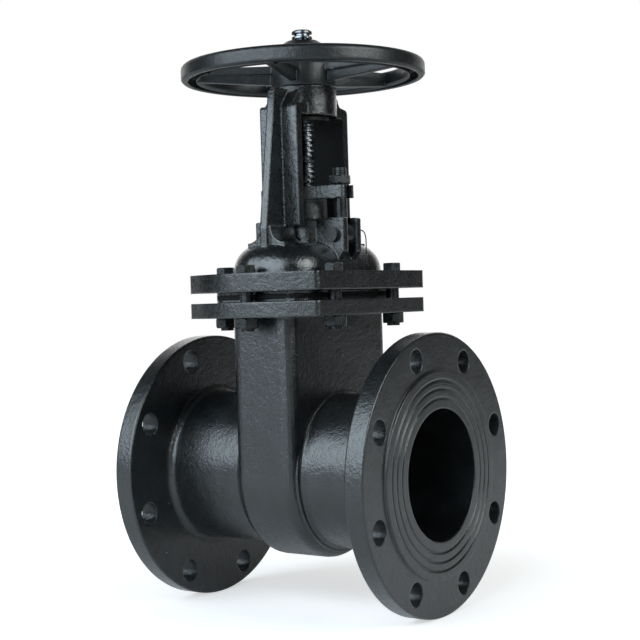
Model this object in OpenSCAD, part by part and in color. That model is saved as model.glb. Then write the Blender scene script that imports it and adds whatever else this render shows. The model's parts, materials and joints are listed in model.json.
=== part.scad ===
// Parallel double disc gate valve with a rising stem and an outside yoke.
// Origin: centre of the inlet flange's raised face. +X runs along the pipe to the outlet, +Z up the stem.

/* [Pipe ends] */
// Distance between the two raised faces
face_to_face = 230; // [215:1:260]
// Diameter of the waterway
bore_d = 98; // [90:1:100]
// Outside diameter of the end flanges
flange_d = 210; // [206:1:230]
// Thickness of an end flange behind its raised face
flange_t = 15.3; // [12:0.1:20]
// Step from the raised face's edge to the bolt circle
raised_step = 12.5; // [11:0.5:15]
// Height of the raised face
raised_h = 2; // [1.5:0.5:3]
// Distance from a bolt hole's centre to the flange's edge
hole_edge = 15; // [14:0.5:20]
// Diameter of a pipe bolt hole
bolt_hole_d = 17.5; // [14:0.5:19]
// Number of pipe bolt holes in each flange
bolt_holes = 8; // [4:4:8]
// How far the hole pattern is turned from straddling the stem
hole_turn = -3.2; // [-5:0.1:5]
// Outside diameter of the two necks
neck_d = 118; // [114:1:122]
// Fillet where a neck meets its flange
flange_fillet = 6; // [3:0.5:8]
// Fillet where a neck meets the body
body_fillet = 3; // [2:0.5:4]
// Places of the turned sealing grooves, as parts of the way from the bore to the raised face's edge
groove_places = [0.267, 0.509, 0.733];
// Width of a sealing groove
groove_w = 1.6; // [1:0.1:2.5]

/* [Body] */
// Width of the body along the pipe
body_w = 56; // [54:1:70]
// Wall of the body towards the pipe ends
body_wall = 7; // [6:0.5:8]
// Wall of the body beside the gate
side_wall = 8; // [6:0.5:10]
// Gap between the discs' edge and the chamber round them
chamber_gap = 5; // [3:0.5:6]
// Radius of the body's outside corners
body_corner_r = 10; // [6:0.5:12]
// Height of the body flange's underside above the bore axis
body_flange_z = 119.8; // [112:0.2:135]
// Thickness of the body flange
body_flange_t = 11.4; // [9:0.2:16]
// Width of the bonnet joint flanges along the pipe
joint_w = 120; // [118:1:130]
// Reach of the bonnet joint flanges past the body, across the pipe
joint_reach = 23; // [20:1:28]
// Distance from the end of a joint flange to its slanted corners
joint_slant = 16.5; // [14:0.5:20]
// Length of the short flange ends before they are rounded
joint_end = 50; // [44:1:60]
// Radius of the bow at the short flange ends
joint_end_r = 90; // [40:5:95]

/* [Bonnet] */
// Height of the facing on each side of the bonnet gasket
facing_h = 2.3; // [1:0.1:4]
// Thickness of the bonnet gasket
gasket_t = 3; // [1.5:0.1:4]
// Thickness of the bonnet flange
bonnet_flange_t = 13.8; // [10:0.1:16]
// Height of the dome above the bonnet flange
dome_h = 22.7; // [22:0.1:32]
// Width of the dome along the pipe
dome_w = 76; // [74:1:80]
// How far the dome stands out past the body, across the pipe
dome_past = 1; // [0.5:0.5:5]
// Radius of the dome's upper edge
dome_edge_r = 22; // [14:1:22]
// How far the bonnet flange is ground away under its far end
end_relief = 2.4; // [0:0.2:4]
// Diameter of the bonnet bolts
bonnet_bolt_d = 10; // [8:1:12]
// Width across flats of the bonnet bolts' heads
head_af = 13; // [13:0.5:17]
// Width across flats of the nuts
nut_af = 16; // [16:0.5:19]

/* [Yoke] */
// Height from the top of the dome to the underside of the yoke hub
yoke_window_h = 97.7; // [92:0.1:130]
// Width of each yoke arm along the pipe
arm_w = 34; // [28:1:38]
// Thickness of each yoke arm
arm_t = 6.7; // [5:0.1:9]
// Clear distance between the two arms
arm_gap = 55.8; // [52:0.2:62]
// Thickness of the rib on the outside of each arm
rib_t = 6; // [4:0.5:9]
// Reach of the rib from the stem axis at its top
rib_top = 44.5; // [42:0.5:50]
// Reach of the rib from the stem axis at its foot
rib_foot = 57.5; // [56:0.5:62]
// Diameter of the yoke hub
yoke_hub_d = 51; // [46:1:56]
// Height of the yoke hub
yoke_hub_h = 22.3; // [18:0.1:28]

/* [Gate] */
// How far the two discs reach past the waterway all round
disc_past = 5; // [4:0.5:6]
// Thickness of a disc with its facing ring
disc_t = 10; // [8:0.5:10.5]
// Thickness of a facing ring
facing_ring_t = 2; // [1:0.5:3]
// How far a seat ring stands out of the chamber wall
seat_proud = 5; // [5:0.1:5.5]
// Wall of a seat ring
seat_wall = 4.5; // [3.5:0.5:5]
// Gap between a disc's facing ring and its seat
seat_gap = 0.25; // [0.2:0.05:0.4]
// Lift of the gate from shut to fully open
stroke = 104; // [99:1:106]

/* [Stem and handwheel] */
// Outside diameter of the stem thread
stem_d = 16; // [14:0.5:18]
// Pitch of the stem thread
thread_pitch = 4; // [3:0.5:5]
// Depth of the stem thread
thread_depth = 2; // [1.5:0.1:2.2]
// Height of the stem's tip above the handwheel's lock nut
stem_tip_above = 8.5; // [5:0.5:20]
// Outside diameter of the handwheel
wheel_d = 189.4; // [170:0.2:220]
// Height of the handwheel's rim
rim_h = 12.4; // [10:0.2:16]
// Width of the handwheel's rim
rim_w = 14.2; // [12:0.2:18]
// Number of spokes
spokes = 5; // [3:1:6]
// Diameter of the handwheel's hub
wheel_hub_d = 50; // [44:1:56]
// Height of the handwheel's hub
wheel_hub_h = 26.5; // [22:0.5:32]
// Diameter of the lock nut on top of the hub
lock_nut_d = 38; // [32:1:44]

/* [Gland] */
// Diameter of the packing chamber
packing_d = 32; // [28:1:33]
// Outside diameter of the stuffing box
stuffing_d = 40; // [40:1:46]
// Height of the stuffing box above the dome
stuffing_h = 18.3; // [16:0.1:24]
// Distance between the two eyebolts
eyebolt_span = 63; // [62:1:66]
// Diameter of the eyebolts
eyebolt_d = 10; // [8:1:12]
// Height of the follower flange's underside above the stuffing box
follower_lift = 15.2; // [12:0.1:18]
// Thickness of the follower flange
follower_t = 9.8; // [8:0.1:12]
// Reach of the follower's slotted ears past the eyebolts
ear_past = 8; // [7:0.5:9]

/* [Hidden] */

$fn = 96;
turning_gap = 0.08;     // radial clearance of a turning or sliding fit
fixed_gap = 0.05;       // radial clearance of a fit that never moves

// Pipe ends
bolt_circle_d = flange_d - 2 * hole_edge;
raised_d = bolt_circle_d - 2 * raised_step;
groove_ds = [for (k = groove_places) bore_d + k * (raised_d - bore_d)];
groove_deep = 0.9;
flange_edge_r = 1.2;
face_edge = 0.6;

// Body and chamber
disc_d = bore_d + 2 * disc_past;
chamber_w = body_w - 2 * body_wall;
chamber_across = disc_d + 2 * chamber_gap;
body_across = chamber_across + 2 * side_wall;
body_top_z = body_flange_z + body_flange_t;
wall_x = (face_to_face - body_w) / 2;
neck_x = wall_x - body_fillet;      // where a pipe end's solid meets the body's
crown_gap = 6;                      // over the lifted discs, inside the bonnet

// Bonnet joint
gasket_z = body_top_z + facing_h;
bonnet_z = gasket_z + gasket_t + facing_h;
dome_z = bonnet_z + bonnet_flange_t;
dome_top_z = dome_z + dome_h;
dome_across = body_across + 2 * dome_past;
dome_corner_r = 33;
joint_across = body_across + 2 * joint_reach;
joint_side = joint_across - 2 * joint_slant;
joint_r = 5;
facing_r = 14;
facing_margin = 3;      // kept between a bolt hole and the gasket facing
bolt_clear = 0.6;       // radial clearance of the bonnet bolts
bolt_x = joint_w / 2 - 9;
bolt_side_y = 40;
bolt_end_y = joint_across / 2 - 10;
bolt_end = 10;          // how far a bolt reaches under the body flange
head_h = 6;
nut_h = 8;
bolt_places = [[bolt_x, -bolt_side_y], [bolt_x, bolt_side_y], [0, bolt_end_y],
    [-bolt_x, bolt_side_y], [-bolt_x, -bolt_side_y], [0, -bolt_end_y]];
facing_half_x = bolt_x - bonnet_bolt_d / 2 - bolt_clear - facing_margin;
facing_half_y = bolt_end_y - bonnet_bolt_d / 2 - bolt_clear - facing_margin;
relief_y = facing_half_y + 2;

// Yoke and hub
yoke_hub_z = dome_top_z + yoke_window_h;
yoke_top_z = yoke_hub_z + yoke_hub_h;
arm_in = arm_gap / 2;
arm_out = arm_in + arm_t;
shoulder_r = 3;
shoulder_z = yoke_hub_z + 6.8;
rib_bend_z = shoulder_z - 4.5;
inner_r = 2;            // cut corner where an arm meets the hub
gusset_w = 25;          // between each arm's shoulder and the hub
plate_foot_z = dome_top_z + 13;
foot_half = 17;         // half width of an arm's foot on the dome
foot_curve = plate_foot_z - dome_top_z;
yoke_bore_d = 30;
collar_d = yoke_bore_d + 8;
collar_h = 3;
collar_gap = 0.3;

// Handwheel, yoke nut and lock nut
wheel_z = yoke_top_z + 0.5;
wheel_top_z = wheel_z + wheel_hub_h;
rim_wall = 5.1;         // outer wall of the rim's hollow underside
lip = 2.5;              // inner wall of the rim's hollow underside
spoke_w = 10;
web_w = 5;
lock_nut_h = 10;
lock_nut_side = 5.5;
lock_nut_z = wheel_top_z;
rim_z = wheel_z + 6.7;
drive_d = 22;

// Stem
stem_top_z = lock_nut_z + lock_nut_h + stem_tip_above;
root_d = stem_d - 2 * thread_depth;
foot_depth = 30;        // of the stem's foot under the discs' upper edge
foot_z = disc_d / 2 - foot_depth;
foot_w = 31.4;          // the stem's foot, across the pipe
foot_h = 10;
foot_gap = 0.3;

// Gland
stuffing_top_z = dome_top_z + stuffing_h;
follower_z = stuffing_top_z + follower_lift;
eye_x = eyebolt_span / 2;
eye_z = dome_top_z + 5.5;
eye_r = 9;
eye_w = 11.4;
pin_d = 8;
pin_head = 3.5;
lug_gap = 12;
lug_t = 6;
lug_reach = 10;         // of a lug past its pin
bolt_past_nut = 6;
gland_nut_h = 6.5;
swing_room = 1;         // round an eyebolt's eye, between its lugs
swing_in = 20;          // from an eyebolt's pin in towards the stem
swing_up = 7;
slot_w = eyebolt_d + 1;
ear_half = 8;           // half width of a follower ear
follower_half = 19;     // half width of the follower at the stem
stem_hole_r = stem_d / 2 + 0.5;
packing_h = 16;
packing_z = dome_top_z + 1;
top_over_pin = follower_z + follower_t - eye_z;
nut_gap = norm([top_over_pin, ear_past]) - top_over_pin + 0.1;     // lets the slackened bolt swing out
nut_z = follower_z + follower_t + nut_gap;

// Gate
seat_face = chamber_w / 2 - seat_proud;
disc_face = seat_face - seat_gap;
disc_back = disc_face - disc_t;
facing_ring_w = 8;
spreader_step = 20;     // from the discs' edge in to the spreader's
spreader_d = disc_d - 2 * spreader_step;

thread_low_z = wheel_z + 1 - stroke;

// ---- outlines ----

function unit(v) = v / norm(v);

// Points of the round that replaces corner b of the outline a, b, c
function corner(a, b, c, r, steps = 6) =
    let (
        u = unit(a - b),
        v = unit(c - b),
        half = acos(u * v) / 2,
        centre = b + unit(u + v) * r / sin(half),
        first = atan2((b + u * r / tan(half) - centre).y, (b + u * r / tan(half) - centre).x),
        last = atan2((b + v * r / tan(half) - centre).y, (b + v * r / tan(half) - centre).x),
        sweep = (last - first + 540) % 360 - 180
    )
    [for (k = [0:steps]) centre + r * [cos(first + sweep * k / steps), sin(first + sweep * k / steps)]];

function rounded(p, r) =
    [for (i = [0:len(p) - 1]) each corner(p[(i + len(p) - 1) % len(p)], p[i], p[(i + 1) % len(p)], r)];

joint_outline = let (x = joint_w / 2, y = joint_across / 2, s = joint_side / 2, e = joint_end / 2)
    let (p = [[x, -s], [x, s], [e, y], [-e, y], [-x, s], [-x, -s], [-e, -y], [e, -y]])
    [for (i = [0:7]) let (r = abs(p[i].x) < x ? joint_end_r : joint_r)
        each corner(p[(i + 7) % 8], p[i], p[(i + 1) % 8], r, 10)];

// Points along an arc about centre c
function arc(c, r, a0, a1, steps = 6) =
    [for (k = [0:steps]) c + r * [cos(a0 + (a1 - a0) * k / steps), sin(a0 + (a1 - a0) * k / steps)]];

function box_outline(half_x, half_y, r) =
    rounded([[half_x, -half_y], [half_x, half_y], [-half_x, half_y], [-half_x, -half_y]], r);

// ---- shared shapes ----

// Stands its children on the stem axis
module on_stem() translate([face_to_face / 2, 0, 0]) children();

// Lays its children along +X: their x becomes Y and their y becomes Z
module along_x() rotate([90, 0, 90]) children();

// Lays its children along Y, centred on the stem
module along_y() rotate([90, 0, 0]) children();

// A rectangular block with every vertical edge rounded
module post(half_x, half_y, r, h) linear_extrude(h) polygon(box_outline(half_x, half_y, r));

// Upright section of a block whose two upper edges are rounded
module soft_section(half, r, h) {
    translate([-half, 0]) square([2 * half, h - r]);
    translate([r - half, 0]) square([2 * (half - r), h]);
    for (s = [-1, 1]) translate([s * (half - r), h - r]) intersection() {
        circle(r);
        translate([s < 0 ? -r : 0, 0]) square(r);
    }
}

// A block with rounded vertical corners and a rounded upper edge
module soft_block(half_x, half_y, corner_r, edge_r, h) {
    inner_x = half_x - corner_r;
    inner_y = half_y - corner_r;
    along_y() linear_extrude(2 * inner_y, center = true) soft_section(half_x, edge_r, h);
    along_x() linear_extrude(2 * inner_x, center = true) soft_section(half_y, edge_r, h);
    for (sx = [-1, 1], sy = [-1, 1]) translate([sx * inner_x, sy * inner_y, 0]) rotate_extrude()
        intersection() {
            soft_section(corner_r, edge_r, h);
            square([corner_r, h]);
        }
}

module hexagon(across_flats, h) cylinder(d = across_flats / cos(30), h = h, $fn = 6);

// A hexagon with its corners turned off at the top
module hex_head(across_flats, h) intersection() {
    hexagon(across_flats, h);
    cylinder(d1 = across_flats + 2 * h, d2 = across_flats * 0.97, h = h);
}

// A hexagon with its corners turned off at both ends
module hex_nut(across_flats, h, bore) difference() {
    intersection() {
        hex_head(across_flats, h);
        translate([0, 0, h]) mirror([0, 0, 1]) hex_head(across_flats, h);
    }
    translate([0, 0, -1]) cylinder(d = bore, h = h + 2, $fn = 48);
}

// ---- pressure shell ----

// Space that the gate moves in, from the bottom of the body to the crown of the bonnet
module chamber() {
    r = chamber_across / 2;
    crown_r = disc_d / 2 + crown_gap;
    translate([-chamber_w / 2, 0, 0]) along_x() cylinder(r = r, h = chamber_w);
    translate([-chamber_w / 2, 0, stroke]) along_x() cylinder(r = crown_r, h = chamber_w);
    translate([-chamber_w / 2, -crown_r, 0]) cube([chamber_w, 2 * crown_r, stroke]);
    translate([-chamber_w / 2, -r, 0]) cube([chamber_w, 2 * r, body_top_z]);
}

module body_outside() {
    half_x = body_w / 2;
    r = body_across / 2;
    c = body_corner_r;
    post(half_x, r, c, body_flange_z + 1);
    // rounded bottom: the same outline swept half a turn under the pipe axis
    along_x() rotate(180) rotate_extrude(angle = 180, $fn = 128) polygon(concat(
        [[0, -half_x]], arc([r - c, -half_x + c], c, -90, 0), arc([r - c, half_x - c], c, 0, 90), [[0, half_x]]));
}

// A pipe flange with its raised face, grooves and neck, all turned about the pipe axis
module pipe_end() color("#3f454a") difference() {
    neck_r = neck_d / 2;
    rim_r = flange_d / 2;
    back = raised_h + flange_t;
    along_x() rotate_extrude($fn = 128) polygon(concat(
        [[bore_d / 2, 0]],
        [for (d = groove_ds, p = [[-1, 0], [-1, 1], [1, 1], [1, 0]]) [(d + p.x * groove_w) / 2, p.y * groove_deep]],
        [[raised_d / 2 - face_edge, 0], [raised_d / 2, face_edge], [raised_d / 2, raised_h]],
        arc([rim_r - flange_edge_r, raised_h + flange_edge_r], flange_edge_r, -90, 0, 3),
        arc([rim_r - flange_edge_r, back - flange_edge_r], flange_edge_r, 0, 90, 3),
        arc([neck_r + flange_fillet, back + flange_fillet], flange_fillet, 270, 180),
        [[neck_r, neck_x], [bore_d / 2, neck_x]]));
    flange_holes();
}

module flange_holes() along_x() for (k = [0:bolt_holes - 1]) rotate(hole_turn + (k + 0.5) * 360 / bolt_holes)
    translate([bolt_circle_d / 2, 0, -1]) cylinder(d = bolt_hole_d, h = flange_t + raised_h + 2);

// Root of a neck, with its fillet, standing on the body
module neck_root() along_x() rotate_extrude($fn = 128) {
    neck_r = neck_d / 2;
    polygon(concat(
        [[0, neck_x]],
        arc([neck_r + body_fillet, neck_x], body_fillet, 180, 90),
        [[neck_r + body_fillet, wall_x + 3], [0, wall_x + 3]]));
}

module valve_body() color("#3f454a") difference() {
    union() {
        for (side = [0, 1]) translate([side * face_to_face, 0, 0]) mirror([side, 0, 0]) neck_root();
        on_stem() {
            body_outside();
            translate([0, 0, body_flange_z]) linear_extrude(body_flange_t) polygon(joint_outline);
            translate([0, 0, body_top_z - 1]) post(facing_half_x, facing_half_y, facing_r, facing_h + 1);
        }
    }
    translate([neck_x - 1, 0, 0]) along_x() cylinder(d = bore_d, h = face_to_face - 2 * neck_x + 2, $fn = 128);
    on_stem() {
        chamber();
        translate([0, 0, body_flange_z]) linear_extrude(body_flange_t + facing_h + 1)
            square([chamber_w, chamber_across], center = true);
        for (side = [0, 1]) mirror([side, 0, 0]) translate([chamber_w / 2 - 1, 0, 0])
            along_x() cylinder(d = bore_d + 2 * seat_wall, h = body_wall - 1);
        for (p = bolt_places) translate([p.x, p.y, body_flange_z - 1])
            cylinder(r = bonnet_bolt_d / 2 + bolt_clear, h = body_flange_t + 2, $fn = 48);
    }
}

// Ring pressed into the chamber wall round the waterway
module seat_ring(side) on_stem() mirror([side < 0 ? 1 : 0, 0, 0]) translate([seat_face, 0, 0]) along_x()
    difference() {
        cylinder(d = bore_d + 2 * seat_wall - 2 * fixed_gap, h = seat_proud + body_wall - 2);
        translate([0, 0, -1]) cylinder(d = bore_d, h = seat_proud + body_wall + 2, $fn = 128);
    }

module bonnet_gasket() color("#2a2c2e") on_stem() translate([0, 0, gasket_z]) difference() {
    post(facing_half_x, facing_half_y, facing_r, gasket_t);
    translate([0, 0, -1]) linear_extrude(gasket_t + 2) square([chamber_w, chamber_across], center = true);
}

// ---- bonnet and yoke casting ----

// Arm of T section: a flat plate facing the stem, with a rib outside it
module yoke_arm() {
    base_z = dome_z + 4;
    foot_out = rib_foot - 3;
    hub_r = yoke_hub_d / 2;
    along_x() translate([0, 0, -arm_w / 2]) linear_extrude(arm_w) polygon(concat(
        [[0, yoke_hub_z], [arm_in - inner_r, yoke_hub_z], [arm_in, yoke_hub_z - inner_r],
            [arm_in, plate_foot_z + 2], [arm_in + 2, plate_foot_z], [arm_out, plate_foot_z]],
        corner([arm_out, plate_foot_z], [arm_out, shoulder_z], [0, shoulder_z + 6], shoulder_r, 3),
        [[hub_r - 2, shoulder_z + 2], [0, shoulder_z + 2]]));
    along_x() translate([0, 0, -rib_t / 2]) linear_extrude(rib_t) polygon(concat(
        [[arm_in, base_z], [rib_foot, base_z], [rib_foot, plate_foot_z - 2]],
        corner([rib_foot, plate_foot_z - 2], [rib_top, rib_bend_z], [rib_top - 2, yoke_top_z - 3], 6),
        corner([rib_top, rib_bend_z], [rib_top - 2, yoke_top_z - 3], [0, yoke_top_z - 2], 4),
        [[0, yoke_top_z - 2], [0, yoke_hub_z], [arm_in - inner_r, yoke_hub_z], [arm_in, yoke_hub_z - inner_r]]));
    // gusset from the shoulder up to the hub
    along_x() translate([0, 0, -gusset_w / 2]) linear_extrude(gusset_w) polygon([
        [0, yoke_hub_z], [arm_in, yoke_hub_z], [arm_out - 1, shoulder_z], [hub_r - 1, yoke_top_z - 4],
        [0, yoke_top_z - 4]]);
    // foot that spreads from the rib onto the dome, in a hollow curve on each side
    translate([0, foot_out, 0]) along_y() linear_extrude(foot_out - arm_in) polygon(concat(
        [[-foot_half, base_z], [foot_half, base_z]],
        arc([foot_half, dome_top_z + foot_curve], foot_curve, 270, 180),
        arc([-foot_half, dome_top_z + foot_curve], foot_curve, 0, -90)));
}

module eyebolt_lug() for (sy = [-1, 1]) translate([0, sy * (lug_gap + lug_t) / 2, 0]) along_y()
    translate([0, 0, -lug_t / 2]) linear_extrude(lug_t) polygon(concat(
        [[packing_d / 2 - 4, stuffing_top_z], [packing_d / 2 - 4, dome_z + 8], [eye_x, dome_z + 8]],
        corner([eye_x, dome_z + 8], [eye_x + 5, dome_z + 9], [eye_x + lug_reach, eye_z - 13], 2),
        corner([eye_x + 5, dome_z + 9], [eye_x + lug_reach, eye_z - 13], [eye_x + lug_reach, stuffing_top_z], 3),
        corner([eye_x + lug_reach, eye_z - 13], [eye_x + lug_reach, stuffing_top_z], [0, stuffing_top_z], 1.5)));

module bonnet_and_yoke() color("#3b4146") on_stem() difference() {
    union() {
        translate([0, 0, bonnet_z]) linear_extrude(bonnet_flange_t) polygon(joint_outline);
        translate([0, 0, bonnet_z - facing_h]) post(facing_half_x, facing_half_y, facing_r, facing_h + 1);
        translate([0, 0, dome_z - 1]) soft_block(dome_w / 2, dome_across / 2, dome_corner_r, dome_edge_r, dome_h + 1);
        translate([0, 0, dome_top_z - 10]) cylinder(d = stuffing_d, h = stuffing_h + 10);
        for (side = [0, 1]) mirror([0, side, 0]) yoke_arm();
        translate([0, 0, yoke_hub_z]) cylinder(d = yoke_hub_d, h = yoke_hub_h);
        for (side = [0, 1]) mirror([side, 0, 0]) eyebolt_lug();
    }
    chamber();
    translate([0, 0, dome_z]) cylinder(r = stem_hole_r, h = stuffing_top_z - dome_z + 1);
    translate([0, 0, packing_z]) cylinder(d = packing_d, h = stuffing_top_z - packing_z + 1);
    translate([0, 0, yoke_hub_z - 1]) cylinder(d = yoke_bore_d, h = yoke_hub_h + 2);
    for (p = bolt_places) translate([p.x, p.y, bonnet_z - 1])
        cylinder(r = bonnet_bolt_d / 2 + bolt_clear, h = bonnet_flange_t + 2, $fn = 48);
    for (sx = [-1, 1]) translate([sx * eye_x, 0, eye_z]) {
        along_y() cylinder(d = pin_d + 2 * fixed_gap, h = lug_gap + 2 * lug_t + 2, center = true, $fn = 48);
        mirror([sx > 0 ? 0 : 1, 0, 0]) translate([-eye_r - swing_room, -lug_gap / 2, -eye_r - swing_room])
            cube([eye_r + swing_room + swing_in, lug_gap, 2 * eye_r + swing_room + swing_up]);
    }
    translate([-joint_w / 2 - 1, 0, 0]) along_x() linear_extrude(joint_w + 2) polygon([
        [relief_y, bonnet_z - 1], [relief_y, bonnet_z], [joint_across / 2 + 1, bonnet_z + end_relief],
        [joint_across / 2 + 1, bonnet_z - 1]]);
}

// ---- bonnet bolting ----

module bonnet_bolt(i) color("#34393d") on_stem() translate([bolt_places[i].x, bolt_places[i].y, 0]) {
    translate([0, 0, dome_z]) hex_head(head_af, head_h);
    translate([0, 0, body_flange_z - bolt_end])
        cylinder(d = bonnet_bolt_d, h = dome_z - body_flange_z + bolt_end + 1, $fn = 48);
}

module bonnet_nut(i) color("#34393d") on_stem() translate([bolt_places[i].x, bolt_places[i].y, body_flange_z])
    mirror([0, 0, 1]) hex_nut(nut_af, nut_h, bonnet_bolt_d + 2 * fixed_gap);

// ---- gland ----

module gland_packing() color("#1d1f20") on_stem() translate([0, 0, packing_z]) difference() {
    cylinder(d = packing_d - 2 * fixed_gap, h = packing_h);
    translate([0, 0, -1]) cylinder(d = stem_d + 2 * turning_gap, h = packing_h + 2);
}

follower_outline = let (x = eye_x + ear_past, w = ear_half, m = follower_half)
    rounded([[x, -w], [x, w], [m - 2, w + 5], [8, m], [-8, m], [-m + 2, w + 5],
        [-x, w], [-x, -w], [-m + 2, -w - 5], [-8, -m], [8, -m], [m - 2, -w - 5]], 3);

module gland_follower() color("#43494e") on_stem() difference() {
    union() {
        translate([0, 0, follower_z]) linear_extrude(follower_t) polygon(follower_outline);
        translate([0, 0, packing_z + packing_h])
            cylinder(d = packing_d - 2 * turning_gap, h = follower_z - packing_z - packing_h + 1);
    }
    translate([0, 0, packing_z]) cylinder(r = stem_hole_r, h = follower_z + follower_t - packing_z + 1);
    for (sx = [-1, 1]) translate([sx * eye_x, 0, follower_z - 1]) {
        cylinder(d = slot_w, h = follower_t + 2, $fn = 48);
        translate([sx > 0 ? 0 : -slot_w - 1, -slot_w / 2, 0]) cube([slot_w + 1, slot_w, follower_t + 2]);
    }
}

module eyebolt_pin(side) color("#3a3f43") on_stem() translate([side * eye_x, 0, eye_z]) along_y() {
    cylinder(d = pin_d, h = lug_gap + 2 * lug_t + 2, center = true, $fn = 48);
    translate([0, 0, lug_gap / 2 + lug_t]) cylinder(d = pin_d + 4, h = pin_head, $fn = 48);
}

module eyebolt(side) color("#4a5055") on_stem() translate([side * eye_x, 0, eye_z]) difference() {
    union() {
        along_y() cylinder(r = eye_r, h = eye_w, center = true, $fn = 48);
        cylinder(d = eyebolt_d, h = nut_z - eye_z + gland_nut_h + bolt_past_nut, $fn = 48);
    }
    along_y() cylinder(d = pin_d + 2 * turning_gap, h = eye_w + 2, center = true, $fn = 48);
}

module eyebolt_nut(side) color("#4a5055") on_stem() translate([side * eye_x, 0, nut_z])
    hex_nut(nut_af, gland_nut_h, eyebolt_d + 2 * fixed_gap);

// ---- gate ----

module disc(side) on_stem() mirror([side < 0 ? 1 : 0, 0, 0]) translate([disc_back, 0, 0]) along_x()
    cylinder(d = disc_d, h = disc_t - facing_ring_t);

module facing_ring(side) on_stem() mirror([side < 0 ? 1 : 0, 0, 0])
    translate([disc_face - facing_ring_t, 0, 0]) along_x() difference() {
        cylinder(d = disc_d, h = facing_ring_t);
        translate([0, 0, -1]) cylinder(d = disc_d - 2 * facing_ring_w, h = facing_ring_t + 2);
    }

// Block between the discs that spreads them and hangs on the stem's foot
module disc_spreader() color("#5a5f62") on_stem() difference() {
    translate([-disc_back, 0, 0]) along_x() cylinder(d = spreader_d, h = 2 * disc_back);
    translate([-disc_back - 1, -foot_w / 2 - foot_gap, foot_z - foot_gap])
        cube([2 * disc_back + 2, foot_w + 2 * foot_gap, foot_h + 2 * foot_gap]);
    translate([-disc_back - 1, -stem_d / 2 - 1, foot_z]) cube([2 * disc_back + 2, stem_d + 2, disc_d]);
}

// Ring grooves of the thread's pitch and form, counted down from the crest at the tip
module thread(z0, z1) {
    turns = floor((z1 - z0) / thread_pitch);
    flank = thread_depth * tan(15);
    crest = thread_pitch / 2 - flank;
    rotate_extrude($fn = 64) polygon(concat([[0, z1], [root_d / 2 + 0.8, z1]],
        [for (k = [0:turns - 1]) let (z = z1 - 1 - k * thread_pitch) each [
            [stem_d / 2, z], [stem_d / 2, z - crest], [root_d / 2, z - crest - flank],
            [root_d / 2, z - 2 * crest - flank]]],
        [[0, z1 - 1 - turns * thread_pitch]]));
}

module stem() color("#50565b") on_stem() {
    half = disc_back - 0.1;
    translate([-half, -foot_w / 2, foot_z]) cube([2 * half, foot_w, foot_h]);
    translate([-half, -stem_d / 2, foot_z + foot_h - 1]) cube([2 * half, stem_d, disc_d / 2 - foot_z - foot_h + 2]);
    translate([0, 0, disc_d / 2 + 0.5]) cylinder(d = stem_d, h = thread_low_z - disc_d / 2 - 0.5);
    translate([0, 0, thread_low_z - 1]) cylinder(d = root_d, h = stem_top_z - thread_low_z - 1, $fn = 64);
    thread(thread_low_z, stem_top_z);
}

// ---- handwheel ----

// Threaded bush that turns in the yoke hub and carries the handwheel
module yoke_nut() color("#5c5648") on_stem() difference() {
    union() {
        translate([0, 0, yoke_hub_z - collar_h - collar_gap]) cylinder(d = collar_d, h = collar_h);
        translate([0, 0, yoke_hub_z - 1]) cylinder(d = yoke_bore_d - 2 * turning_gap, h = wheel_z - yoke_hub_z + 1);
        translate([0, 0, wheel_z - 1]) cylinder(d = drive_d - 2 * fixed_gap, h = wheel_hub_h + lock_nut_h);
    }
    translate([0, 0, yoke_hub_z - collar_h - 1])
        cylinder(d = stem_d + 2 * turning_gap, h = wheel_top_z + lock_nut_h - yoke_hub_z + collar_h + 2);
}

module rim() rotate_extrude($fn = 128) {
    r = wheel_d / 2;
    inner = r - rim_w;
    roof = rim_h - 5;
    translate([0, rim_z]) polygon(concat(
        corner([r, 0], [r, rim_h], [inner, rim_h], 4),
        corner([r, rim_h], [inner, rim_h], [inner, 0], 3),
        [[inner, 2], [inner + lip, 0], [inner + lip, roof], [r - rim_wall, roof], [r - rim_wall, 0],
            [r - 1.5, 0], [r, 1.5]]));
}

module spoke() {
    from = wheel_hub_d / 2 - 3;
    to = wheel_d / 2 - rim_w + 1.5;
    rim_top = rim_z + rim_h;
    // flat top and a deeper web under it
    along_y() translate([0, 0, -spoke_w / 2]) linear_extrude(spoke_w) polygon([
        [from, wheel_top_z - 9], [to, rim_top - 2], [to, rim_top - 7], [from, wheel_top_z - 15]]);
    along_y() translate([0, 0, -web_w / 2]) linear_extrude(web_w) polygon([
        [from, wheel_top_z - 10], [to, rim_top - 4], [to, rim_z + 0.5], [from, wheel_z + 3]]);
}

module handwheel() color("#43494e") on_stem() difference() {
    union() {
        rim();
        translate([0, 0, wheel_z]) cylinder(d = wheel_hub_d, h = wheel_hub_h);
        for (k = [0:spokes - 1]) rotate(k * 360 / spokes) spoke();
    }
    translate([0, 0, wheel_z - 1]) cylinder(d = drive_d, h = wheel_hub_h + 2);
}

module handwheel_lock_nut() color("#474d52") on_stem() translate([0, 0, lock_nut_z]) difference() {
    rotate_extrude() polygon([[0, 0], [lock_nut_d / 2, 0], [lock_nut_d / 2, lock_nut_side],
        [lock_nut_d / 2 - 2, lock_nut_side + 1.5], [drive_d / 2 + 1.5, lock_nut_h], [0, lock_nut_h]]);
    translate([0, 0, -1]) cylinder(d = drive_d, h = lock_nut_h + 2);
}

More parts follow.
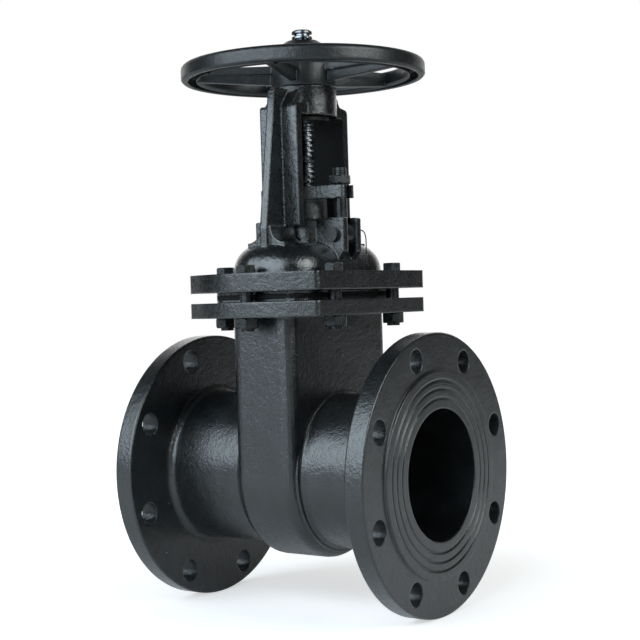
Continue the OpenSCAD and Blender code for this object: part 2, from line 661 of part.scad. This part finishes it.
valve_body();
pipe_end();  // pipe_end_inlet
translate([face_to_face, 0, 0]) mirror([1, 0, 0]) pipe_end();  // pipe_end_outlet
color("#6a6f73") seat_ring(-1);  // seat_ring_inlet
color("#6a6f73") seat_ring(1);  // seat_ring_outlet
bonnet_gasket();
bonnet_and_yoke();
for (i = [0:5]) {
    bonnet_bolt(i);
    bonnet_nut(i);
}
gland_packing();
gland_follower();
eyebolt_pin(-1);  // eyebolt_pin_inlet
eyebolt_pin(1);  // eyebolt_pin_outlet
eyebolt(-1);  // eyebolt_inlet
eyebolt(1);  // eyebolt_outlet
eyebolt_nut(-1);  // eyebolt_nut_inlet
eyebolt_nut(1);  // eyebolt_nut_outlet
stem();
color("#5a5f62") disc(-1);  // disc_inlet
color("#5a5f62") disc(1);  // disc_outlet
color("#8a8f90") facing_ring(-1);  // facing_ring_inlet
color("#8a8f90") facing_ring(1);  // facing_ring_outlet
disc_spreader();
yoke_nut();
handwheel();
handwheel_lock_nut();
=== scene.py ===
import bpy
import bmesh
import json
import math
from mathutils import Matrix, Vector


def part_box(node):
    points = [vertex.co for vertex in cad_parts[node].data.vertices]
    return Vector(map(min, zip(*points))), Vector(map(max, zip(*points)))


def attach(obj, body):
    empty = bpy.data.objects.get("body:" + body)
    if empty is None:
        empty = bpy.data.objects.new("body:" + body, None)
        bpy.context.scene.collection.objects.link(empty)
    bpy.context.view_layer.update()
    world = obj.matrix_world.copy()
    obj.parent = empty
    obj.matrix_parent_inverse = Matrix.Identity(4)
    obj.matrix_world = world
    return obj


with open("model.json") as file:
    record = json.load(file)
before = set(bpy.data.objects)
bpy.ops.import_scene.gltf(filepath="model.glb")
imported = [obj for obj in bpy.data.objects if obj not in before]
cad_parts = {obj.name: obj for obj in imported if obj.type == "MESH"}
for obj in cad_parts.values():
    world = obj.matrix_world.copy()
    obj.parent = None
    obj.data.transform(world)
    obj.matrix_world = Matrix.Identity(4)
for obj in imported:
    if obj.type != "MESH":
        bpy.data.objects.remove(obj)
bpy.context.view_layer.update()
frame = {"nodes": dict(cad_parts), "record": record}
nodes = frame["nodes"]
mm = 0.001

# where things are, read from the frame
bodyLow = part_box("valve_body")[0]
stemLow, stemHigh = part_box("stem")
inletLow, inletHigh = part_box("pipe_end_inlet")
stemX = (stemLow.x + stemHigh.x) / 2
splitAway = stemX - inletHigh.x     # from the stem to the planes where the casting's ends meet its middle
print("frame loaded:", len(nodes), "pieces, stem axis at x =", round(stemX, 4))


camera = {
    "azimuth": 35.01,       # degrees round from the front
    "elevation": 0.78,
    "roll": -1.76,
    "distance": 1.1054,
    "aimRight": 0.0038,     # aim point, sideways and up across the view from the foot of the stem axis
    "aimUp": 0.1159,
    "lens": 79.61,
    "sensor": 36.0,
}


def makeCamera(c):
    az, el, roll = (math.radians(c[k]) for k in ("azimuth", "elevation", "roll"))
    back = Vector((math.sin(az) * math.cos(el), -math.cos(az) * math.cos(el), math.sin(el)))
    level = Vector((math.cos(az), math.sin(az), 0))
    upright = back.cross(level)
    right = level * math.cos(roll) + upright * math.sin(roll)
    up = upright * math.cos(roll) - level * math.sin(roll)
    data = bpy.data.cameras.new("camera")
    data.lens = c["lens"]
    data.sensor_width = c["sensor"]
    data.clip_start = 0.05
    data.clip_end = 50
    cam = bpy.data.objects.new("camera", data)
    bpy.context.scene.collection.objects.link(cam)
    place = Vector((stemX, 0, 0)) + right * c["aimRight"] + up * c["aimUp"] + back * c["distance"]
    turn = Matrix((right, up, back)).transposed().to_4x4()
    cam.matrix_world = Matrix.Translation(place) @ turn
    bpy.context.scene.camera = cam


makeCamera(camera)
print("camera placed")


def srgb(code):
    # sRGB hex to the linear colour that sockets take
    parts = [int(code[i:i + 2], 16) / 255 for i in (1, 3, 5)]
    return tuple(c / 12.92 if c <= 0.04045 else ((c + 0.055) / 1.055) ** 2.4 for c in parts) + (1.0,)


def perMetre(size):
    # texture scale whose features are about this many metres across
    return 1.0 / size


def addNode(mat, kind, settings=None, links=None, stops=None, **attributes):
    node = mat.node_tree.nodes.new(kind)
    for key, value in attributes.items():
        setattr(node, key, value)
    for key, value in (settings or {}).items():
        node.inputs[key].default_value = value
    for key, source in (links or {}).items():
        mat.node_tree.links.new(source, node.inputs[key])
    for index, (place, code) in enumerate(stops or []):
        band = node.color_ramp.elements
        element = band[index] if index < len(band) else band.new(place)
        element.position = place
        element.color = srgb(code)
    return node


def newMaterial(name, metallic, roughness, coat=0.0, coatRoughness=0.2):
    mat = bpy.data.materials.new(name)
    mat.use_nodes = True
    shader = mat.node_tree.nodes["Principled BSDF"]
    shader.inputs["Metallic"].default_value = metallic
    shader.inputs["Roughness"].default_value = roughness
    shader.inputs["Coat Weight"].default_value = coat
    shader.inputs["Coat Roughness"].default_value = coatRoughness
    return mat, shader


# Black gloss enamel sprayed over sand-cast iron. The sand's grain comes through the film as pimples,
# the thick film itself pulls into orange peel, and both break its highlights up.
castEnamel = {
    "pool": "#090b0c",      # thick film
    "film": "#0f1214",
    "thin": "#171b1d",      # thin film over high spots
    "rub": "#2e3335",       # handled edges
    "gloss": 0.29,
    "dull": 0.43,
    "glossAt": 0.32,        # of the peel's noise
    "dullAt": 0.68,
    "coat": 1.0,            # the wet-looking top of the film
    "coatRoughness": 0.14,
    "edge": 1.8 * mm,       # round on every cast edge
    "splitReach": 1.5 * mm,     # either side of the split planes, where nothing is rounded
    "wornFrom": 0.97,       # cosine at which the rounded normal has left the true one enough to wear
    "wornFull": 0.72,
    "patchFrom": 0.45,      # of the peel's noise: edges wear in patches
    "patchFull": 0.62,
    "grain": 1.3 * mm,      # moulding sand, drawn coarser than its 0.3 mm so that it shows
    "grainDepth": 0.24 * mm,
    "peel": 3.2 * mm,
    "peelDepth": 0.25 * mm,
    "swell": 16 * mm,       # slow unevenness of the mould
    "swellDepth": 1.1 * mm,
    "swellStrength": 0.4,
    "speck": "#9aa0a2",     # dust nibs and chips
    "speckSize": 0.45 * mm,
    "speckApart": 13 * mm,
    "speckShare": 0.35,     # of the places that could hold a speck
    "faceAt": 112 * mm,     # from the stem; end faces beyond it were turned
    "squareOn": 0.98,       # least cosine from the pipe's axis on an end face
    "turnedGrit": 0.35,     # share of the grain that turning leaves
    "ringPitch": 1.4 * mm,  # feed of the lathe tool, drawn coarse enough to show
    "ringDepth": 0.3 * mm,
    "ringStrength": 0.06,
    "holeCircle": 90 * mm,  # radius that the pipe bolt holes lie on
    "holeReach": 10.5 * mm,     # either side of it
    "sideOn": 0.5,          # greatest cosine from the pipe's axis on a hole's wall
    "mattRoughness": 0.95,  # in drilled holes and where the yoke's inside is painted dark as shade
    "paintedShade": "#0a0b0b",    # painted shade: near black on the inside of the yoke, where shade falls
    "paintedShadeReach": 0.0,     # reach of the painted shade from the screw's axis; none but on the yoke
    "paintedShadeLow": 192 * mm,
    "paintedShadeHigh": 272.8 * mm,
}


def castMasks(mat, p, where, trueNormal):
    # where the castings are split, turned and drilled
    parts = addNode(mat, "ShaderNodeSeparateXYZ", links={0: where})
    fromStem = addNode(mat, "ShaderNodeMath", {1: stemX}, {0: parts.outputs["X"]},
                       operation="SUBTRACT").outputs[0]
    away = addNode(mat, "ShaderNodeMath", links={0: fromStem}, operation="ABSOLUTE").outputs[0]
    split = addNode(mat, "ShaderNodeMath", {1: splitAway, 2: p["splitReach"]}, {0: away},
                    operation="COMPARE").outputs[0]
    facing = addNode(mat, "ShaderNodeSeparateXYZ", links={0: trueNormal}).outputs["X"]
    facing = addNode(mat, "ShaderNodeMath", links={0: facing}, operation="ABSOLUTE").outputs[0]
    square = addNode(mat, "ShaderNodeMath", {1: p["squareOn"]}, {0: facing},
                     operation="GREATER_THAN").outputs[0]
    atFace = addNode(mat, "ShaderNodeMath", {1: p["faceAt"]}, {0: away}, operation="GREATER_THAN").outputs[0]
    turned = addNode(mat, "ShaderNodeMath", links={0: square, 1: atFace}, operation="MULTIPLY").outputs[0]
    across = addNode(mat, "ShaderNodeVectorMath", {1: (0, 1, 1)}, {0: where},
                     operation="MULTIPLY").outputs["Vector"]
    radial = addNode(mat, "ShaderNodeVectorMath", links={0: across}, operation="LENGTH").outputs["Value"]
    drilled = addNode(mat, "ShaderNodeMath", {1: p["sideOn"]}, {0: facing}, operation="LESS_THAN").outputs[0]
    inBand = addNode(mat, "ShaderNodeMath", {1: p["holeCircle"], 2: p["holeReach"]}, {0: radial},
                     operation="COMPARE").outputs[0]
    atEnds = addNode(mat, "ShaderNodeMath", {1: splitAway}, {0: away}, operation="GREATER_THAN").outputs[0]
    drilled = addNode(mat, "ShaderNodeMath", links={0: drilled, 1: inBand}, operation="MULTIPLY").outputs[0]
    drilled = addNode(mat, "ShaderNodeMath", links={0: drilled, 1: atEnds}, operation="MULTIPLY").outputs[0]
    return {"height": parts.outputs["Z"], "split": split, "turned": turned, "radial": radial,
            "drilled": drilled}


def filmColour(mat, p, where, peel, swell, rounded, trueNormal):
    film = addNode(mat, "ShaderNodeValToRGB", links={0: swell},
                   stops=[(0.3, p["pool"]), (0.7, p["thin"]), (0.5, p["film"])]).outputs["Color"]
    # worn where the rounded normal leaves the true one
    bent = addNode(mat, "ShaderNodeVectorMath", links={0: rounded, 1: trueNormal},
                   operation="DOT_PRODUCT").outputs["Value"]
    worn = addNode(mat, "ShaderNodeMapRange",
                   {"From Min": p["wornFrom"], "From Max": p["wornFull"], "To Min": 0.0, "To Max": 1.0},
                   {"Value": bent}).outputs["Result"]
    patchy = addNode(mat, "ShaderNodeMapRange", {"From Min": p["patchFrom"], "From Max": p["patchFull"]},
                     {"Value": peel}).outputs["Result"]
    worn = addNode(mat, "ShaderNodeMath", links={0: worn, 1: patchy}, operation="MULTIPLY").outputs[0]
    colour = addNode(mat, "ShaderNodeMix", {"B": srgb(p["rub"])}, {"Factor": worn, "A": film},
                     data_type="RGBA").outputs["Result"]
    cells = addNode(mat, "ShaderNodeTexVoronoi", {"Scale": perMetre(p["speckApart"])}, {"Vector": where})
    nib = addNode(mat, "ShaderNodeMath", {1: p["speckSize"] / p["speckApart"]},
                  {0: cells.outputs["Distance"]}, operation="LESS_THAN").outputs[0]
    few = addNode(mat, "ShaderNodeSeparateXYZ", links={0: cells.outputs["Color"]}).outputs["X"]
    few = addNode(mat, "ShaderNodeMath", {1: p["speckShare"]}, {0: few}, operation="LESS_THAN").outputs[0]
    nib = addNode(mat, "ShaderNodeMath", links={0: nib, 1: few}, operation="MULTIPLY").outputs[0]
    return addNode(mat, "ShaderNodeMix", {"B": srgb(p["speck"])}, {"Factor": nib, "A": colour},
                   data_type="RGBA").outputs["Result"]


def paintedShadeMask(mat, p, where, height):
    # painted shade inside the yoke: round the screw, between two heights
    level = addNode(mat, "ShaderNodeVectorMath", {0: (1, 1, 0)}, {1: where},
                    operation="MULTIPLY").outputs["Vector"]
    fromScrew = addNode(mat, "ShaderNodeVectorMath", {1: (stemX, 0, 0)}, {0: level},
                        operation="DISTANCE").outputs["Value"]
    near = addNode(mat, "ShaderNodeMath", {1: p["paintedShadeReach"]}, {0: fromScrew},
                   operation="LESS_THAN").outputs[0]
    middle = (p["paintedShadeLow"] + p["paintedShadeHigh"]) / 2
    between = addNode(mat, "ShaderNodeMath", {1: middle, 2: p["paintedShadeHigh"] - middle}, {0: height},
                      operation="COMPARE").outputs[0]
    return addNode(mat, "ShaderNodeMath", links={0: near, 1: between}, operation="MULTIPLY").outputs[0]


def filmRelief(mat, p, grit, rounded, swell, peel, grain, masks):
    # turned faces keep little of the grain and carry faint rings
    coarse = addNode(mat, "ShaderNodeMapRange", {"To Min": grit, "To Max": p["turnedGrit"] * grit},
                     {"Value": masks["turned"]}).outputs["Result"]
    ringTurn = addNode(mat, "ShaderNodeMath", {1: 2 * math.pi / p["ringPitch"]}, {0: masks["radial"]},
                       operation="MULTIPLY").outputs[0]
    rings = addNode(mat, "ShaderNodeMath", links={0: ringTurn}, operation="SINE").outputs[0]
    ringStrength = addNode(mat, "ShaderNodeMath", {1: p["ringStrength"]}, {0: masks["turned"]},
                           operation="MULTIPLY").outputs[0]
    normal = addNode(mat, "ShaderNodeBump", {"Strength": p["swellStrength"], "Distance": p["swellDepth"]},
                     {"Height": swell, "Normal": rounded}).outputs["Normal"]
    for height, depth, strength in ((peel, p["peelDepth"], coarse), (grain, p["grainDepth"], coarse),
                                    (rings, p["ringDepth"], ringStrength)):
        normal = addNode(mat, "ShaderNodeBump", {"Distance": depth},
                         {"Height": height, "Normal": normal, "Strength": strength}).outputs["Normal"]
    return normal


def makeCastEnamel(name, p, grit=1.0):
    mat, shader = newMaterial(name, 0.0, p["dull"], p["coat"], p["coatRoughness"])
    link = mat.node_tree.links.new
    where = addNode(mat, "ShaderNodeTexCoord").outputs["Object"]
    trueNormal = addNode(mat, "ShaderNodeNewGeometry").outputs["True Normal"]
    grain = addNode(mat, "ShaderNodeTexNoise",
                    {"Scale": perMetre(p["grain"]), "Detail": 3.0, "Roughness": 0.6},
                    {"Vector": where}).outputs["Fac"]
    peel = addNode(mat, "ShaderNodeTexNoise", {"Scale": perMetre(p["peel"]), "Detail": 2.0},
                   {"Vector": where}).outputs["Fac"]
    swell = addNode(mat, "ShaderNodeTexNoise", {"Scale": perMetre(p["swell"]), "Detail": 4.0},
                    {"Vector": where}).outputs["Fac"]
    masks = castMasks(mat, p, where, trueNormal)
    radius = addNode(mat, "ShaderNodeMapRange", {"To Min": p["edge"], "To Max": 0.0},
                     {"Value": masks["split"]}).outputs["Result"]
    rounded = addNode(mat, "ShaderNodeBevel", links={"Radius": radius}, samples=8).outputs["Normal"]
    colour = filmColour(mat, p, where, peel, swell, rounded, trueNormal)
    matt = masks["drilled"]
    # painted shade: the inside of the yoke is made near black and matt, where the arms and hub keep the light
    # out
    if p["paintedShadeReach"] > 0:
        shadePainted = paintedShadeMask(mat, p, where, masks["height"])
        colour = addNode(mat, "ShaderNodeMix", {"B": srgb(p["paintedShade"])}, {"Factor": shadePainted, "A": colour},
                         data_type="RGBA").outputs["Result"]
        wet = addNode(mat, "ShaderNodeMapRange", {"To Min": p["coat"], "To Max": 0.0}, {"Value": shadePainted})
        link(wet.outputs["Result"], shader.inputs["Coat Weight"])
        matt = addNode(mat, "ShaderNodeMath", links={0: matt, 1: shadePainted}, operation="MAXIMUM").outputs[0]
    link(colour, shader.inputs["Base Color"])
    shine = addNode(mat, "ShaderNodeMapRange",
                    {"From Min": p["glossAt"], "From Max": p["dullAt"], "To Min": p["gloss"],
                     "To Max": p["dull"]}, {"Value": peel}).outputs["Result"]
    shine = addNode(mat, "ShaderNodeMix", {"B": p["mattRoughness"]},
                    {"Factor": matt, "A": shine}).outputs["Result"]
    link(shine, shader.inputs["Roughness"])
    normal = filmRelief(mat, p, grit, rounded, swell, peel, grain, masks)
    link(normal, shader.inputs["Normal"])
    link(normal, shader.inputs["Coat Normal"])
    return mat


castEnamelMat = makeCastEnamel("blackGlossEnamelOnSandCastIron", castEnamel)
# glossier and smoother, so that its highlights are crisp, with painted shade, near black and matt, inside its
# arms:
# their inside lies 28 mm from the screw, their outside beyond 34 mm
yokeEnamel = {
    **castEnamel,
    "gloss": 0.22,
    "dull": 0.36,
    "coatRoughness": 0.1,
    "paintedShadeReach": 33.5 * mm,
}
yokeEnamelMat = makeCastEnamel("shadePaintedBlackEnamelOnSandCastIron", yokeEnamel, grit=0.9)
# the follower is a coarser casting, flooded with paint
followerEnamel = {**castEnamel, "gloss": 0.32, "thin": "#1d2224"}
followerEnamelMat = makeCastEnamel("floodedBlackEnamelOnCastIron", followerEnamel, grit=1.6)
# hands have dulled the wheel's film
wheelEnamel = {**castEnamel, "gloss": 0.34, "dull": 0.46, "coat": 0.25}
wheelEnamelMat = makeCastEnamel("blackGlossEnamelOnFettledCastIron", wheelEnamel, grit=0.6)


# Small forged, turned and pressed parts, painted or bare: fine grain, with broader blotches of tone and gloss
smallPart = {
    "blotch": 6,            # times the grain's size
    "darkAt": 0.35,         # of the blotches' noise
    "lightAt": 0.65,
    "smoothAt": 0.3,
    "roughAt": 0.7,
    "spread": 0.08,         # of the roughness, either way
    "depth": 0.25 * mm,
    "edge": 0.5 * mm,       # round on every edge
}


def makeSmallPart(name, p):
    mat, shader = newMaterial(name, p["metallic"], p["roughness"])
    link = mat.node_tree.links.new
    where = addNode(mat, "ShaderNodeTexCoord").outputs["Object"]
    grain = addNode(mat, "ShaderNodeTexNoise", {"Scale": perMetre(p["grain"]), "Detail": 3.0},
                    {"Vector": where}).outputs["Fac"]
    blotch = addNode(mat, "ShaderNodeTexNoise", {"Scale": perMetre(p["blotch"] * p["grain"]), "Detail": 3.0},
                     {"Vector": where}).outputs["Fac"]
    colour = addNode(mat, "ShaderNodeValToRGB", links={0: blotch},
                     stops=[(p["darkAt"], p["dark"]), (p["lightAt"], p["light"])]).outputs["Color"]
    link(colour, shader.inputs["Base Color"])
    rounded = addNode(mat, "ShaderNodeBevel", {"Radius": p["edge"]}, samples=6).outputs["Normal"]
    normal = addNode(mat, "ShaderNodeBump", {"Strength": p["bump"], "Distance": p["depth"]},
                     {"Height": grain, "Normal": rounded}).outputs["Normal"]
    link(normal, shader.inputs["Normal"])
    shine = addNode(mat, "ShaderNodeMapRange",
                    {"From Min": p["smoothAt"], "From Max": p["roughAt"],
                     "To Min": p["roughness"] - p["spread"], "To Max": p["roughness"] + p["spread"]},
                    {"Value": blotch}).outputs["Result"]
    link(shine, shader.inputs["Roughness"])
    return mat


# thin even paint on forged flats: small soft highlights
boltEnamel = {**smallPart, "light": "#202426", "dark": "#121415", "metallic": 0.0, "roughness": 0.27,
              "grain": 1.2 * mm, "bump": 0.6}
boltEnamelMat = makeSmallPart("blackEnamelOnForgedSteel", boltEnamel)
# bare steel with oil in blotches: bright, broken glints
stemSteel = {**smallPart, "light": "#9a9ea2", "dark": "#3a3d40", "metallic": 1.0, "roughness": 0.24,
             "grain": 0.8 * mm, "bump": 0.2, "edge": 0.2 * mm}
stemSteelMat = makeSmallPart("oiledTurnedSteel", stemSteel)
# dull grey, faintly mottled
greyIron = {**smallPart, "light": "#4a4d50", "dark": "#33363a", "metallic": 0.7, "roughness": 0.45,
            "grain": 0.8 * mm, "bump": 0.3}
greyIronMat = makeSmallPart("machinedGreyIron", greyIron)
# warm and nearly smooth
brass = {**smallPart, "light": "#8a7448", "dark": "#6d5a36", "metallic": 1.0, "roughness": 0.38,
         "grain": 0.8 * mm, "bump": 0.15}
brassMat = makeSmallPart("turnedBrass", brass)
# paint has drifted over it: near black with a warm cast
bronze = {**smallPart, "light": "#15140f", "dark": "#0d0d0b", "metallic": 0.3, "roughness": 0.45,
          "grain": 0.8 * mm, "bump": 0.3}
bronzeMat = makeSmallPart("oversprayedBronze", bronze)
# flat dark grey
graphite = {**smallPart, "light": "#17181a", "dark": "#0e0f10", "metallic": 0.0, "roughness": 0.62,
            "grain": 0.8 * mm, "bump": 0.4}
graphiteMat = makeSmallPart("pressedGraphiteSheet", graphite)

finishes = {
    "painted_casting": castEnamelMat,
    "painted_bolting": boltEnamelMat,
    "steel_stem": stemSteelMat,
    "bare_cast_iron": greyIronMat,
    "brass_trim": brassMat,
    "graphite_packing": graphiteMat,
    "gasket_sheet": graphiteMat,
}
ownFinishes = {
    "yoke_nut": bronzeMat,
    "handwheel": wheelEnamelMat,
    "handwheel_lock_nut": wheelEnamelMat,
    "bonnet_and_yoke": yokeEnamelMat,
    "gland_follower": followerEnamelMat,
}
slotOf = {s["node"]: s["material_slot"] for s in frame["record"]["subparts"]}
for name, obj in nodes.items():
    obj.data.materials.clear()
    obj.data.materials.append(ownFinishes.get(name, finishes[slotOf[name]]))
print("finishes on", len(nodes), "pieces")


# Rolled threads on the eyebolts, as a helical ridge round each bare stretch of shank
eyeboltThread = {
    "pitch": 1.5 * mm,
    "shankRadius": 5.0 * mm,
    "height": 0.3 * mm,
    "foot": 0.25 * mm,      # sunk into the shank
    "crest": 0.35 * mm,
    "base": 1.15 * mm,
    "perTurn": 40,
    "fade": 10,             # steps in which each end runs out
    "overEye": 22.2 * mm,   # from the bottom of the eye to the lowest turn
    "gap": 0.5 * mm,
    "underNut": 11.5 * mm,  # from the nut down past the follower's ear
}


def makeThread(name, body, axis, low, high, t):
    bm = bmesh.new()
    steps = int((high - low - t["base"]) / t["pitch"] * t["perTurn"])
    rings = []
    for k in range(steps + 1):
        angle = 2 * math.pi * k / t["perTurn"]
        z = low + t["base"] / 2 + t["pitch"] * k / t["perTurn"]
        rise = t["height"] * min(1, (k + 1) / t["fade"], (steps - k + 1) / t["fade"])
        section = [(-t["base"] / 2, -t["foot"]), (-t["crest"] / 2, rise), (t["crest"] / 2, rise),
                   (t["base"] / 2, -t["foot"])]
        ring = []
        for up, out in section:
            r = t["shankRadius"] + out
            ring.append(bm.verts.new((axis.x + r * math.cos(angle), axis.y + r * math.sin(angle), z + up)))
        rings.append(ring)
    for a, b in zip(rings, rings[1:]):
        for i in range(4):
            bm.faces.new((a[i], b[i], b[(i + 1) % 4], a[(i + 1) % 4]))
    bm.faces.new(rings[0])
    bm.faces.new(rings[-1][::-1])
    bmesh.ops.recalc_face_normals(bm, faces=bm.faces)
    mesh = bpy.data.meshes.new(name)
    bm.to_mesh(mesh)
    bm.free()
    piece = bpy.data.objects.new(name, mesh)
    bpy.context.scene.collection.objects.link(piece)
    mesh.materials.append(boltEnamelMat)
    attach(piece, body)


for side in ("inlet", "outlet"):
    eyeLow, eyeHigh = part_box("eyebolt_" + side)
    nutLow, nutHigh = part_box("eyebolt_nut_" + side)
    axis = (nutLow + nutHigh) / 2
    bare = {
        "lower": (eyeLow.z + eyeboltThread["overEye"], nutLow.z - eyeboltThread["underNut"]),
        "upper": (nutHigh.z + eyeboltThread["gap"] / 2, eyeHigh.z - eyeboltThread["gap"]),
    }
    for end, (low, high) in bare.items():
        makeThread("eyebolt_thread_" + end + "_" + side, "eyebolt_" + side, axis, low, high, eyeboltThread)
print("eyebolt threads cut")


# Soft iron wire fixed in the far end of the outlet side's pin, its tail hanging beside the dome
pinWire = {
    "thickness": 0.9 * mm,
    "length": 39.6 * mm,
    # mm from the middle of the pin's end
    "route": [(0, 0, 0), (0.1, 1.2, 0.3), (0.8, 2.2, 1.0), (2.0, 2.6, 1.9), (3.4, 2.6, 2.7),
              (5.0, 2.4, 3.2), (6.8, 2.2, 3.5), (8.6, 2.0, 3.3), (10.1, 1.9, 2.6), (11.2, 2.0, 1.3),
              (11.8, 2.2, -0.5), (12.1, 2.4, -2.6), (12.2, 2.5, -5.0), (12.2, 2.6, -8.0),
              (12.1, 2.6, -11.0), (12.0, 2.6, -14.0), (12.0, 2.6, -17.0), (12.1, 2.5, -20.0),
              (12.2, 2.4, -23.5)],
}


def makePinWire(w):
    pinLow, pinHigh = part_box("eyebolt_pin_outlet")
    start = Vector(((pinLow.x + pinHigh.x) / 2, pinHigh.y, (pinLow.z + pinHigh.z) / 2))
    data = bpy.data.curves.new("pin_wire_outlet", "CURVE")
    data.dimensions = "3D"
    data.bevel_depth = w["thickness"] / 2
    data.bevel_resolution = 3
    data.resolution_u = 4
    data.use_fill_caps = True
    line = data.splines.new("BEZIER")
    line.bezier_points.add(len(w["route"]) - 1)
    for knot, place in zip(line.bezier_points, w["route"]):
        knot.co = start + Vector(place) * mm
        knot.handle_left_type = knot.handle_right_type = "AUTO"
    wire = bpy.data.objects.new("pin_wire_outlet", data)
    bpy.context.scene.collection.objects.link(wire)
    data.materials.append(boltEnamelMat)
    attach(wire, "valve")


makePinWire(pinWire)
print("pin wire hung")


studio = {
    "floorSize": 12.0,
    "floorColour": "#e8e8e8",
    "liftNear": (0.12, 0.55),   # distance from the stem, and share of white there
    "liftFar": (0.6, 1.0),
    "floorMirrored": 0.1,   # share of the lift that mirrored rays get: low, so upright faces stay dark
    "aim": (0, 0, 0.12),    # from the foot of the stem axis
    "boxes": {
        # azimuth round from the front, elevation, distance, width, height, radiance, colour
        "keySoftbox": (-12, 26, 1.9, 2.56, 1.54, 4.2, "#dff0fb"),
        "sideSoftbox": (90, 26, 1.9, 1.3, 0.95, 5.2, "#f4fbfb"),
    },
    "backdropFacing": 35,   # degrees round, the way the backdrop looks
    "backdropHalf": 34,     # degrees from its middle to its edge
    "backdropSoft": (-8, 18),   # degrees that the edge fades over
    "room": 0.05,           # light that the dim room sends back
    "ambient": 0.6,         # share of that light that reaches matt surfaces
}


def makeFloor(s):
    half = s["floorSize"] / 2
    data = bpy.data.meshes.new("floor")
    z = min(bodyLow.z, inletLow.z)
    corners = [(-half, -half, z), (half, -half, z), (half, half, z), (-half, half, z)]
    data.from_pydata(corners, [], [(0, 1, 2, 3)])
    floor = bpy.data.objects.new("floor", data)
    bpy.context.scene.collection.objects.link(floor)
    mat, shader = newMaterial("whitePaperSweep", 0.0, 0.9)
    shader.inputs["Base Color"].default_value = srgb(s["floorColour"])
    # the floor is lifted to white where it is seen directly, less so beside the object, where its shadow lies
    path = addNode(mat, "ShaderNodeLightPath")
    mirrored = addNode(mat, "ShaderNodeMath", {1: s["floorMirrored"]}, {0: path.outputs["Is Glossy Ray"]},
                       operation="MULTIPLY").outputs[0]
    seen = addNode(mat, "ShaderNodeMath", links={0: path.outputs["Is Camera Ray"], 1: mirrored},
                   operation="MAXIMUM").outputs[0]
    seen = addNode(mat, "ShaderNodeMath", links={0: seen, 1: path.outputs["Is Transmission Ray"]},
                   operation="MAXIMUM").outputs[0]
    where = addNode(mat, "ShaderNodeTexCoord").outputs["Object"]
    away = addNode(mat, "ShaderNodeVectorMath", {1: (stemX, 0, z)}, {0: where},
                   operation="DISTANCE").outputs["Value"]
    lift = addNode(mat, "ShaderNodeMapRange", {"From Min": s["liftNear"][0], "From Max": s["liftFar"][0],
                                               "To Min": s["liftNear"][1], "To Max": s["liftFar"][1]},
                   {"Value": away}).outputs["Result"]
    strength = addNode(mat, "ShaderNodeMath", links={0: seen, 1: lift}, operation="MULTIPLY").outputs[0]
    glow = addNode(mat, "ShaderNodeEmission", {"Color": (1, 1, 1, 1)}, {"Strength": strength})
    both = addNode(mat, "ShaderNodeAddShader", links={0: shader.outputs["BSDF"], 1: glow.outputs["Emission"]})
    mat.node_tree.links.new(both.outputs["Shader"], mat.node_tree.nodes["Material Output"].inputs["Surface"])
    data.materials.append(mat)


def makeSoftbox(name, aim, azimuth, elevation, distance, width, height, radiance, colour):
    az, el = math.radians(azimuth), math.radians(elevation)
    out = Vector((math.sin(az) * math.cos(el), -math.cos(az) * math.cos(el), math.sin(el)))
    data = bpy.data.lights.new(name, "AREA")
    data.shape = "RECTANGLE"
    data.size = width
    data.size_y = height
    data.energy = radiance * math.pi * width * height
    data.color = srgb(colour)[:3]
    obj = bpy.data.objects.new(name, data)
    bpy.context.scene.collection.objects.link(obj)
    obj.location = Vector((stemX, 0, 0)) + Vector(aim) + out * distance
    obj.rotation_mode = "QUATERNION"
    obj.rotation_quaternion = (-out).to_track_quat("-Z", "Y")
    obj.visible_camera = False


def makeWorld(s):
    # a white backdrop on one side and a dim room round the rest; seen directly it is white all round
    world = bpy.data.worlds.new("studioAir")
    bpy.context.scene.world = world
    world.use_nodes = True
    where = addNode(world, "ShaderNodeTexCoord").outputs["Generated"]
    az = math.radians(s["backdropFacing"])
    facing = (-math.sin(az), math.cos(az), 0)
    side = addNode(world, "ShaderNodeVectorMath", {1: facing}, {0: where},
                   operation="DOT_PRODUCT").outputs["Value"]
    inner, outer = (math.cos(math.radians(s["backdropHalf"] + d)) for d in s["backdropSoft"])
    level = addNode(world, "ShaderNodeMapRange", {"From Min": outer, "From Max": inner, "To Min": s["room"],
                                                  "To Max": 1.0}, {"Value": side}).outputs["Result"]
    path = addNode(world, "ShaderNodeLightPath")
    mirrored = addNode(world, "ShaderNodeMath",
                       links={0: path.outputs["Is Glossy Ray"], 1: path.outputs["Is Transmission Ray"]},
                       operation="MAXIMUM").outputs[0]
    share = addNode(world, "ShaderNodeMapRange", {"To Min": s["ambient"], "To Max": 1.0}, {"Value": mirrored})
    total = addNode(world, "ShaderNodeMath", links={0: level, 1: share.outputs["Result"]},
                    operation="MULTIPLY")
    total = addNode(world, "ShaderNodeMath", links={0: total.outputs[0], 1: path.outputs["Is Camera Ray"]},
                    operation="MAXIMUM")
    back = world.node_tree.nodes["Background"]
    back.inputs["Color"].default_value = (1, 1, 1, 1)
    world.node_tree.links.new(total.outputs[0], back.inputs["Strength"])


makeFloor(studio)
for name, values in studio["boxes"].items():
    makeSoftbox(name, studio["aim"], *values)
makeWorld(studio)
bpy.context.scene.view_settings.view_transform = "Standard"
print("studio lit")
